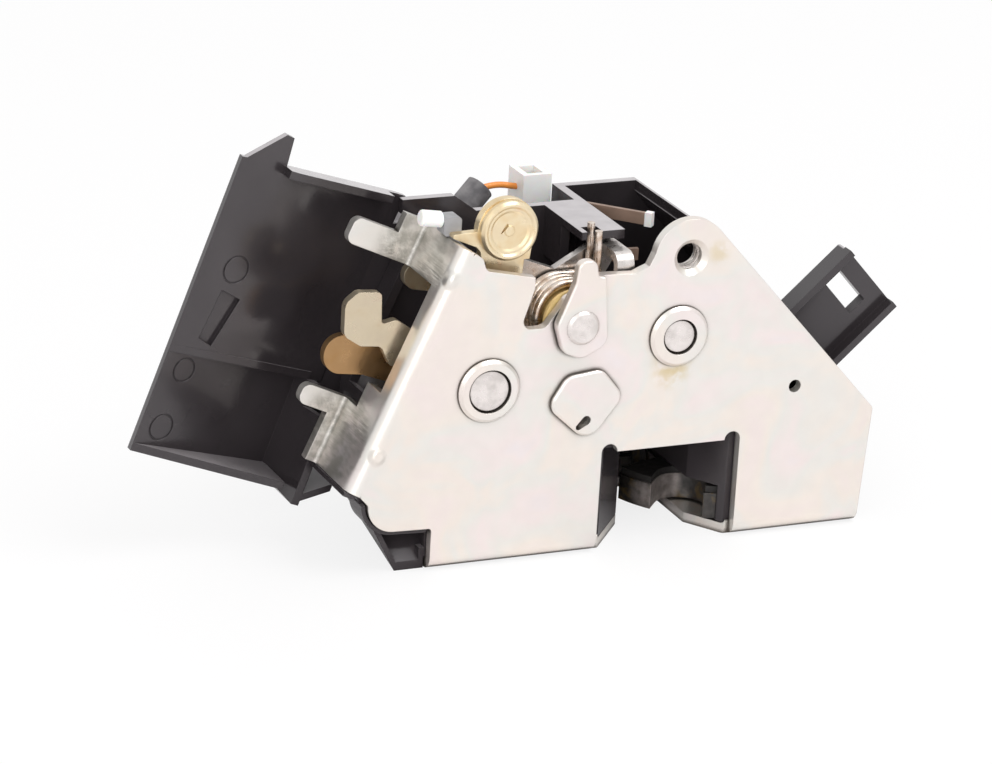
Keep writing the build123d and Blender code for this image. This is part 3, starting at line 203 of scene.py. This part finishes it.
    def bump(self, height, depth):
        """Relief of depth millimetres."""
        node = self.add("ShaderNodeBump")
        node.inputs["Distance"].default_value = depth * MM
        self.link(height, node.inputs["Height"])
        if self.normal:
            self.link(self.normal, node.inputs["Normal"])
        self.normal = node.outputs["Normal"]
        self.link(self.normal, self.shader.inputs["Normal"])


# ---------------------------------------------------------------- finishes
# colour of the painted shade in seams and corners
SEAM_SHADE = (0.10, 0.085, 0.07)
GREASE_DARK = (0.018, 0.016, 0.015)
GREASE_PALE = (0.050, 0.044, 0.040)
GREASE_SMEAR = (0.10, 0.068, 0.028)


def zinc(name, stains=(), drawn=(), dimples=()):
    """Clear-passivated zinc on sheet: pale and warm, with faint rainbow drifts and rolled grain."""
    f = Finish(name, (0.79, 0.725, 0.70), metallic=0.78, edge=0.22)
    drift = f.noise(17.0, detail=3.0, distortion=0.6)
    rainbow = f.ramp(drift, [(0.30, (0.80, 0.72, 0.69)), (0.43, (0.80, 0.74, 0.68)),
                             (0.52, (0.755, 0.74, 0.70)), (0.62, (0.80, 0.725, 0.705)),
                             (0.75, (0.77, 0.725, 0.74))])
    shade = f.span(f.noise(3.2, detail=4.0), 0.25, 0.75, 0.0, 0.12)
    color = f.blend(shade, rainbow, (0.60, 0.55, 0.52))
    for center, radius, soft, strength in stains:
        patchy = f.span(f.noise(2.6, detail=3.0), 0.35, 0.6, 0.0, strength)
        mask = f.math("MULTIPLY", f.spot(center, radius, soft), patchy)
        color = f.blend(mask, color, (0.62, 0.50, 0.26))
    rough = f.span(f.noise(5.0, detail=4.0, stretch=(0.5, 1.0, 1.0)), 0.3, 0.7, 0.28, 0.44)
    relief = 0.0
    for center, radius, soft in drawn:
        # bent zones: dulled, with fine lines drawn out by the tool
        mask = f.spot(center, radius, soft)
        lines = f.noise(0.5, detail=3.0, stretch=(1.0, 0.10, 1.0))
        patchy = f.span(f.noise(2.0, detail=4.0, stretch=(1.0, 0.4, 1.0)), 0.30, 0.65, 0.25, 0.95)
        color = f.blend(f.math("MULTIPLY", mask, patchy), color, (0.40, 0.385, 0.35))
        scored = f.math("MULTIPLY", mask, lines)
        relief = f.math("ADD", scored, relief)
    # painted shade in the seams round collars, rivets and the crank
    f.seam_shade(1.3, color)
    f.link(rough, f.shader.inputs["Roughness"])
    f.bump(f.noise(0.45, detail=3.0, stretch=(0.35, 1.0, 1.0)), 0.006)
    f.bump(f.noise(7.0, detail=1.0), 0.03)
    if drawn:
        f.bump(relief, 0.10)
    for center, radius, soft, depth in dimples:
        f.bump(f.spot(center, radius, soft), depth)
    return f.material


def bright_steel(name):
    """Turned rivets and shafts: bright, with fine scratches."""
    f = Finish(name, (0.74, 0.71, 0.68), metallic=0.9, edge=0.18)
    color = f.ramp(f.noise(2.2, detail=4.0), [(0.30, (0.60, 0.565, 0.54)), (0.60, (0.76, 0.715, 0.69))])
    # painted shade in the seams where the steel meets other parts
    f.seam_shade(0.9, color)
    f.rough(f.noise(1.4, detail=3.0), 0.24, 0.42)
    f.bump(f.noise(0.25, detail=3.0, stretch=(0.3, 1.0, 1.0)), 0.008)
    return f.material


def yellow_zinc(name, deep=0.0, tint=(0.32, 0.16, 0.05)):
    """Yellow-passivated lever steel, straw to gold with faint iridescent drifts."""
    f = Finish(name, (0.76, 0.62, 0.40), metallic=0.85, edge=0.18)
    drift = f.noise(6.0, detail=3.0, distortion=0.8)
    gold = f.ramp(drift, [(0.30, (0.72, 0.55, 0.32)), (0.48, (0.78, 0.66, 0.45)), (0.60, (0.74, 0.62, 0.43)),
                          (0.75, (0.76, 0.56, 0.38))])
    f.color(f.blend(deep, gold, tint) if deep else gold)
    f.rough(f.noise(2.5, detail=4.0), 0.26, 0.42)
    f.bump(f.noise(0.4, detail=3.0), 0.008)
    return f.material


def black_plastic(name, tone=0.024, low=0.14, high=0.26, coat=0.35, top_sheen=1.0):
    """Glossy black moulding with broad sink marks, a few scuffs, a painted pale sheen on what looks up and
    painted shade in deep recesses.
    """
    base = (tone, tone * 0.84, tone * 0.92)
    f = Finish(name, base, edge=0.25, Coat_Weight=coat, Coat_Roughness=0.12)
    f.set("Specular Tint", (1.0, 0.95, 0.98, 1.0))
    worn = f.span(f.noise(20.0, detail=2.0), 0.45, 0.75, 0.0, 0.4)
    color = f.blend(worn, base, (tone * 2.2, tone * 1.95, tone * 2.05))
    # painted shade: deep recesses get an evened-out colour and a lower specular level and coat
    recess_shade = f.crevice(20.0, 0.30, 0.80)
    # painted light: faces that look up are paled, less so in recesses
    lit_top = f.math("MULTIPLY", f.facing_up(), f.span(f.noise(5.0, detail=3.0), 0.25, 0.75, 0.8 * top_sheen, top_sheen))
    lit_top = f.math("MULTIPLY", lit_top, f.span(recess_shade, 0.0, 1.0, 1.0, 0.35))
    color = f.blend(f.span(recess_shade, 0.0, 1.0, 0.0, 0.8), color, (0.042, 0.036, 0.039))
    f.color(f.blend(lit_top, color, (0.48, 0.45, 0.465)))
    f.link(f.span(recess_shade, 0.0, 1.0, 0.5, 0.12), f.shader.inputs["Specular IOR Level"])
    if coat:
        f.link(f.span(recess_shade, 0.0, 1.0, coat, 0.05), f.shader.inputs["Coat Weight"])
    f.rough(f.noise(24.0, detail=2.0, distortion=0.4), low, high)
    f.bump(f.noise(0.30, detail=2.0), 0.002)
    f.bump(f.noise(16.0, detail=1.0), 0.14)
    return f.material


def spring_wire(name):
    """Oiled spring steel with a copper-brown tarnish."""
    f = Finish(name, (0.60, 0.52, 0.46), metallic=1.0)
    f.color(f.ramp(f.noise(1.9, detail=3.0), [(0.25, (0.32, 0.20, 0.13)), (0.38, (0.52, 0.40, 0.31)),
                                              (0.52, (0.66, 0.57, 0.50)), (0.70, (0.80, 0.74, 0.68))]))
    f.rough(f.noise(0.8, detail=2.0), 0.22, 0.40)
    f.bump(f.noise(0.2, detail=2.0), 0.004)
    return f.material


def greased_steel(name, clean):
    """Hardened steel under old dark grease, with yellow-brown smears, wiped clean round one spot."""
    f = Finish(name, (0.08, 0.07, 0.06), metallic=0.5, edge=0.3, Coat_Weight=0.4, Coat_Roughness=0.25)
    cloud = f.noise(1.5, detail=4.0)
    smear = f.span(f.noise(2.4, detail=4.0, distortion=0.7), 0.50, 0.64)
    dirty = f.blend(smear, f.ramp(cloud, [(0.3, GREASE_DARK), (0.7, GREASE_PALE)]), GREASE_SMEAR)
    steel = f.ramp(cloud, [(0.3, (0.20, 0.175, 0.165)), (0.7, (0.42, 0.37, 0.35))])
    f.color(f.blend(f.spot(*clean), dirty, steel))
    f.rough(smear, 0.30, 0.55)
    f.bump(f.noise(1.8, detail=4.0, distortion=0.7), 0.10)
    return f.material


def moulded(name, color, low=0.38, high=0.55, drift=0.25, subsurface=0.0):
    """Natural or dyed plastic: even colour with slight shading, satin surface."""
    darker = tuple(c * (1.0 - drift) for c in color)
    f = Finish(name, color, edge=0.15, Subsurface_Weight=subsurface, Subsurface_Scale=0.6 * MM)
    f.color(f.blend(f.span(f.noise(3.0, detail=4.0), 0.35, 0.75, 0.0, 0.8), color, darker))
    f.rough(f.noise(1.5, detail=3.0), low, high)
    f.bump(f.noise(0.25, detail=2.0), 0.004)
    return f.material


def rubber(name):
    """Extruded rubber with a chalky bloom."""
    f = Finish(name, (0.10, 0.095, 0.10), edge=0.15)
    f.color(f.ramp(f.noise(2.4, detail=5.0), [(0.35, (0.085, 0.080, 0.086)), (0.70, (0.23, 0.22, 0.225))]))
    f.rough(f.noise(1.2, detail=3.0), 0.45, 0.68)
    f.bump(f.noise(0.35, detail=4.0), 0.015)
    return f.material


def brass(name):
    """Bare brass of the connector's pins."""
    f = Finish(name, (0.74, 0.55, 0.27), metallic=1.0, edge=0.1)
    f.color(f.ramp(f.noise(1.2, detail=3.0), [(0.35, (0.55, 0.38, 0.16)), (0.65, (0.80, 0.62, 0.33))]))
    f.rough(f.noise(0.8), 0.22, 0.40)
    f.bump(f.noise(0.2, stretch=(0.3, 1.0, 1.0)), 0.004)
    return f.material


# spots: centre, radius and soft edge in millimetres, then strength of a stain or depth of a dimple
PLATE_STAINS = [(mm(38.5, PLATE_FRONT, 35.5), 1.0, 4.5, 0.75), (mm(46.5, PLATE_FRONT, 57.0), 0.6, 2.6, 0.45)]
DRAWN_DEPTH = 11.5                        # middle of the drawn zones, behind the side plate's front face
DRAWN_ZONES = [(mm(-6.0, PLATE_FRONT + DRAWN_DEPTH, 57.0), 7.5, 3.5),
               (mm(-21.5, PLATE_FRONT + DRAWN_DEPTH, 22.5), 7.8, 3.5)]
PLATE_DIMPLES = [(mm(-19.2, PLATE_FRONT, 23.5), 0.6, 1.4, 0.5), (mm(-7.0, PLATE_FRONT, 56.2), 0.7, 1.6, 0.6)]
CLEAN_CLAW = (mm(45.0, -20.5, 5.0), 4.2, 1.6)
finishes = {
    "plate_zinc": zinc("plate_zinc", PLATE_STAINS, DRAWN_ZONES, PLATE_DIMPLES),
    "zinc": zinc("small_zinc"),
    "bright_steel": bright_steel("bright_steel"),
    "yellow_zinc": yellow_zinc("yellow_zinc"),
    "deep_gold": yellow_zinc("deep_gold", 0.85),
    "straw_zinc": yellow_zinc("straw_zinc", 0.5, (0.37, 0.33, 0.28)),
    "black_plastic": black_plastic("black_plastic"),
    "case_plastic": black_plastic("case_plastic", 0.030, 0.42, 0.60, 0.0, 0.25),
    "spring_steel": spring_wire("spring_steel"),
    "claw_steel": greased_steel("claw_steel", CLEAN_CLAW),
    "jacket_plastic": moulded("jacket_plastic", (0.014, 0.012, 0.011), 0.55, 0.75),
    "rubber": rubber("rubber"),
    "nylon_white": moulded("nylon_white", (0.95, 0.95, 0.93), drift=0.04, subsurface=0.25),
    "nylon_grey": moulded("nylon_grey", (0.34, 0.34, 0.35)),
    "drum_plastic": moulded("drum_plastic", (0.86, 0.62, 0.26)),
    "wire_orange": moulded("wire_orange", (0.95, 0.33, 0.06), 0.28, 0.42),
    "contact_brown": moulded("contact_brown", (0.30, 0.20, 0.15)),
    "pin_brass": brass("pin_brass"),
    "motor_steel": bright_steel("motor_steel"),
    "gear_plastic": moulded("gear_plastic", (0.84, 0.82, 0.74), drift=0.1),
}
OWN_FINISH = {"side_plate": "plate_zinc", "inner_lever": "deep_gold", "outer_lever": "straw_zinc",
              "transfer_lever": "straw_zinc", "bumper": "jacket_plastic"}
slot_of = {part["node"]: part["material_slot"] for part in frame["record"]["subparts"]}
for name, node in nodes.items():
    finish = finishes[OWN_FINISH.get(name, slot_of[name])]
    if not node.material_slots:
        node.data.materials.append(finish)
    for slot in node.material_slots:
        slot.material = finish
    node.data.shade_smooth()
    node.data.set_sharp_from_angle(angle=radians(28))


# ---------------------------------------------------------------- pieces that the frame's solids leave out
def fixed_piece(name, mesh, finish):
    """Object of the mesh that rides the latch's frame."""
    mesh.materials.append(finishes[finish])
    piece = bpy.data.objects.new(name, mesh)
    scene.collection.objects.link(piece)
    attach(piece, "frame")


# ---------------------------------------------------------------- threads of the four screw holes
def thread(name, start, axis, length):
    """Helical ridge on the wall of a hole; it runs from start along axis."""
    turns = length / THREAD_PITCH
    side = Vector((1, 0, 0))
    up = axis.cross(side)
    profile = [(0.03, -0.46), (-THREAD_DEPTH, -0.07), (-THREAD_DEPTH, 0.07), (0.03, 0.46)]
    points, faces = [], []
    count = int(turns * THREAD_STEPS) + 1
    for index in range(count):
        angle = 2 * pi * index / THREAD_STEPS
        taper = min(1.0, index / THREAD_STEPS * 2, (count - 1 - index) / THREAD_STEPS * 2)
        for out, along in profile:
            radius = THREAD_CORE_R + (out * taper if out < 0 else out)
            height = THREAD_PITCH * (index / THREAD_STEPS + along * max(taper, 0.05))
            way = side * cos(angle) + up * sin(angle)
            points.append(start + way * radius * MM + axis * height * MM)
        if index:
            base = 4 * (index - 1)
            for k in range(4):
                faces.append((base + k, base + (k + 1) % 4, base + 4 + (k + 1) % 4, base + 4 + k))
    faces.append((3, 2, 1, 0))
    faces.append(tuple(4 * (count - 1) + k for k in range(4)))
    mesh = bpy.data.meshes.new(name)
    mesh.from_pydata(points, [], faces)
    mesh.shade_smooth()
    mesh.set_sharp_from_angle(angle=radians(40))
    fixed_piece(name, mesh, "bright_steel")


ear_start = mm(EAR_HOLE[0], PLATE_FRONT + EAR_THREAD_START, EAR_HOLE[1])
thread("ear_thread", ear_start, Vector((0, 1, 0)), EAR_THREAD_LENGTH)
for number, (x, y) in enumerate(FLOOR_HOLES):
    floor_start = mm(x, y, FLOOR_THREAD_START)
    thread(f"floor_thread_{number + 1}", floor_start, Vector((0, 0, 1)), FLOOR_THREAD_LENGTH)

# ---------------------------------------------------------------- rim of the housing's foot
FOLD_ANGLE = radians(66.0)
FOLD_FOOT = (-24.1, 18.4)                 # lower end of the leaning fold: x and z
PLATE_CORNER = (-15.4, 14.0, 5.2)         # rounded lower left corner of the side plate: centre and radius
CORNER_STEPS = 12
STEP_RIGHT = -8.6                         # right end of the rib, near the side plate's step
STEP_HEIGHT = 8.5
SEAM = 0.2                                # between the side plate and the rib
RIB = 0.8                                 # thickness of the rib
RIB_DEPTHS = (0.9, 7.0)                   # front and back, behind the side plate's front face
LIP_DEPTHS = (1.2, 17.5)
LIP_ALONG = (-2.4, -1.6)                  # below the lower end of the fold
LIP_OUT = (-2.4, 0.1)


def fold(along, out):
    """x and z on the leaning fold, along it and out of it, in millimetres."""
    return (FOLD_FOOT[0] + along * cos(FOLD_ANGLE) - out * sin(FOLD_ANGLE),
            FOLD_FOOT[1] + along * sin(FOLD_ANGLE) + out * cos(FOLD_ANGLE))


def prism(name, outline, depths):
    """Black plastic solid from an outline of x and z, between two depths behind the side plate's front."""
    count = len(outline)
    points = [mm(x, PLATE_FRONT + depth, z) for depth in depths for x, z in outline]
    faces = [(k, (k + 1) % count, count + (k + 1) % count, count + k) for k in range(count)]
    faces += [tuple(reversed(range(count))), tuple(range(count, 2 * count))]
    mesh = bpy.data.meshes.new(name)
    mesh.from_pydata(points, [], faces)
    fixed_piece(name, mesh, "black_plastic")


def foot_rim():
    """Rib of the foot along the side plate's edge, and its lip under the lower end of the leaning fold."""
    x, z, corner = PLATE_CORNER

    def edge(out):
        """The side plate's edge, moved out by some millimetres."""
        turn = [radians(270 - 90 * k / CORNER_STEPS) for k in range(CORNER_STEPS + 1)]
        arc = [(x + (corner + out) * cos(t), z + (corner + out) * sin(t)) for t in turn]
        return [(STEP_RIGHT, STEP_HEIGHT - out)] + arc

    prism("foot_rib", edge(SEAM + RIB) + edge(SEAM)[::-1], RIB_DEPTHS)
    low, high = LIP_ALONG
    near, far = LIP_OUT
    prism("fold_lip", [fold(low, near), fold(low, far), fold(high, far), fold(high, near)], LIP_DEPTHS)


foot_rim()

# ---------------------------------------------------------------- floor, world, lamps and camera
scene.view_settings.view_transform = "Standard"
FLOOR_REACH = 3.0                         # metres from the middle to each side
FLOOR_DROP = 0.02                         # millimetres under the latch
GLOW_SHARE = 0.82                         # how much of the floor's look is plain white


def floor():
    """White table: for the camera mostly plain white, with the object's soft shadow kept."""
    mesh = bpy.data.meshes.new("floor")
    low = cad_box[0][2] - FLOOR_DROP * MM
    corners = [(x * FLOOR_REACH, y * FLOOR_REACH, low) for x, y in ((-1, -1), (1, -1), (1, 1), (-1, 1))]
    mesh.from_pydata(corners, [], [(0, 1, 2, 3)])
    piece = bpy.data.objects.new("floor", mesh)
    scene.collection.objects.link(piece)
    material = bpy.data.materials.new("floor_white")
    material.use_nodes = True
    tree = material.node_tree
    shader = tree.nodes["Principled BSDF"]
    shader.inputs["Base Color"].default_value = (0.96, 0.95, 0.96, 1.0)
    shader.inputs["Roughness"].default_value = 0.6
    glow = tree.nodes.new("ShaderNodeEmission")
    glow.inputs["Color"].default_value = (1.0, 1.0, 1.0, 1.0)
    seen = tree.nodes.new("ShaderNodeLightPath")
    share = tree.nodes.new("ShaderNodeMath")
    share.operation = "MULTIPLY"
    share.inputs[1].default_value = GLOW_SHARE
    mix = tree.nodes.new("ShaderNodeMixShader")
    tree.links.new(seen.outputs["Is Camera Ray"], share.inputs[0])
    tree.links.new(share.outputs["Value"], mix.inputs["Fac"])
    tree.links.new(shader.outputs["BSDF"], mix.inputs[1])
    tree.links.new(glow.outputs["Emission"], mix.inputs[2])
    tree.links.new(mix.outputs["Shader"], tree.nodes["Material Output"].inputs["Surface"])
    mesh.materials.append(material)


def surroundings():
    """White studio for the camera and for reflections, softer for plain light."""
    world = bpy.data.worlds.new("studio")
    scene.world = world
    world.use_nodes = True
    tree = world.node_tree
    plain = tree.nodes["Background"]
    plain.inputs["Color"].default_value = (1.0, 0.99, 0.985, 1.0)
    plain.inputs["Strength"].default_value = 0.72
    bright = tree.nodes.new("ShaderNodeBackground")
    bright.inputs["Strength"].default_value = 1.0
    bright.inputs["Color"].default_value = (1.0, 1.0, 1.0, 1.0)
    seen = tree.nodes.new("ShaderNodeLightPath")
    either = None
    for ray in ("Is Camera Ray", "Is Glossy Ray", "Is Transmission Ray"):
        if either is None:
            either = seen.outputs[ray]
            continue
        most = tree.nodes.new("ShaderNodeMath")
        most.operation = "MAXIMUM"
        tree.links.new(either, most.inputs[0])
        tree.links.new(seen.outputs[ray], most.inputs[1])
        either = most.outputs["Value"]
    mix = tree.nodes.new("ShaderNodeMixShader")
    tree.links.new(either, mix.inputs["Fac"])
    tree.links.new(plain.outputs["Background"], mix.inputs[1])
    tree.links.new(bright.outputs["Background"], mix.inputs[2])
    tree.links.new(mix.outputs["Shader"], tree.nodes["World Output"].inputs["Surface"])


LATCH_MIDDLE = (0.01, -0.02, 0.03)


def lamp(name, place, size, power):
    """Round area lamp, aimed at the latch."""
    light = bpy.data.lights.new(name, "AREA")
    light.shape = "DISK"
    light.size = size
    light.energy = power
    piece = bpy.data.objects.new(name, light)
    scene.collection.objects.link(piece)
    piece.location = place
    way = Vector(LATCH_MIDDLE) - Vector(place)
    piece.rotation_euler = way.to_track_quat("-Z", "Y").to_euler()


def camera():
    """Long lens from the front, left and above, leaning a little."""
    azimuth, elevation, lean = radians(24.6), radians(20.0), radians(3.3)
    distance = 0.8
    target = mm(3.225, PLATE_FRONT, 35.868)
    forward = Vector((sin(azimuth) * cos(elevation), cos(azimuth) * cos(elevation), -sin(elevation)))
    level = Vector((cos(azimuth), -sin(azimuth), 0.0))
    upright = level.cross(forward)
    right = level * cos(lean) + upright * sin(lean)
    up = upright * cos(lean) - level * sin(lean)
    data = bpy.data.cameras.new("camera")
    data.sensor_fit = "HORIZONTAL"
    data.sensor_width = 36.0
    data.lens = 160.7
    data.clip_start = 0.05
    data.clip_end = 20.0
    piece = bpy.data.objects.new("camera", data)
    scene.collection.objects.link(piece)
    turn = Matrix((right, up, -forward)).transposed().to_4x4()
    piece.matrix_world = Matrix.Translation(target - forward * distance) @ turn
    scene.camera = piece


floor()
surroundings()
lamp("key", (0.35, -0.35, 0.85), 0.6, 3.4)
lamp("fill", (-0.55, -0.75, 0.45), 0.7, 3.0)
camera()
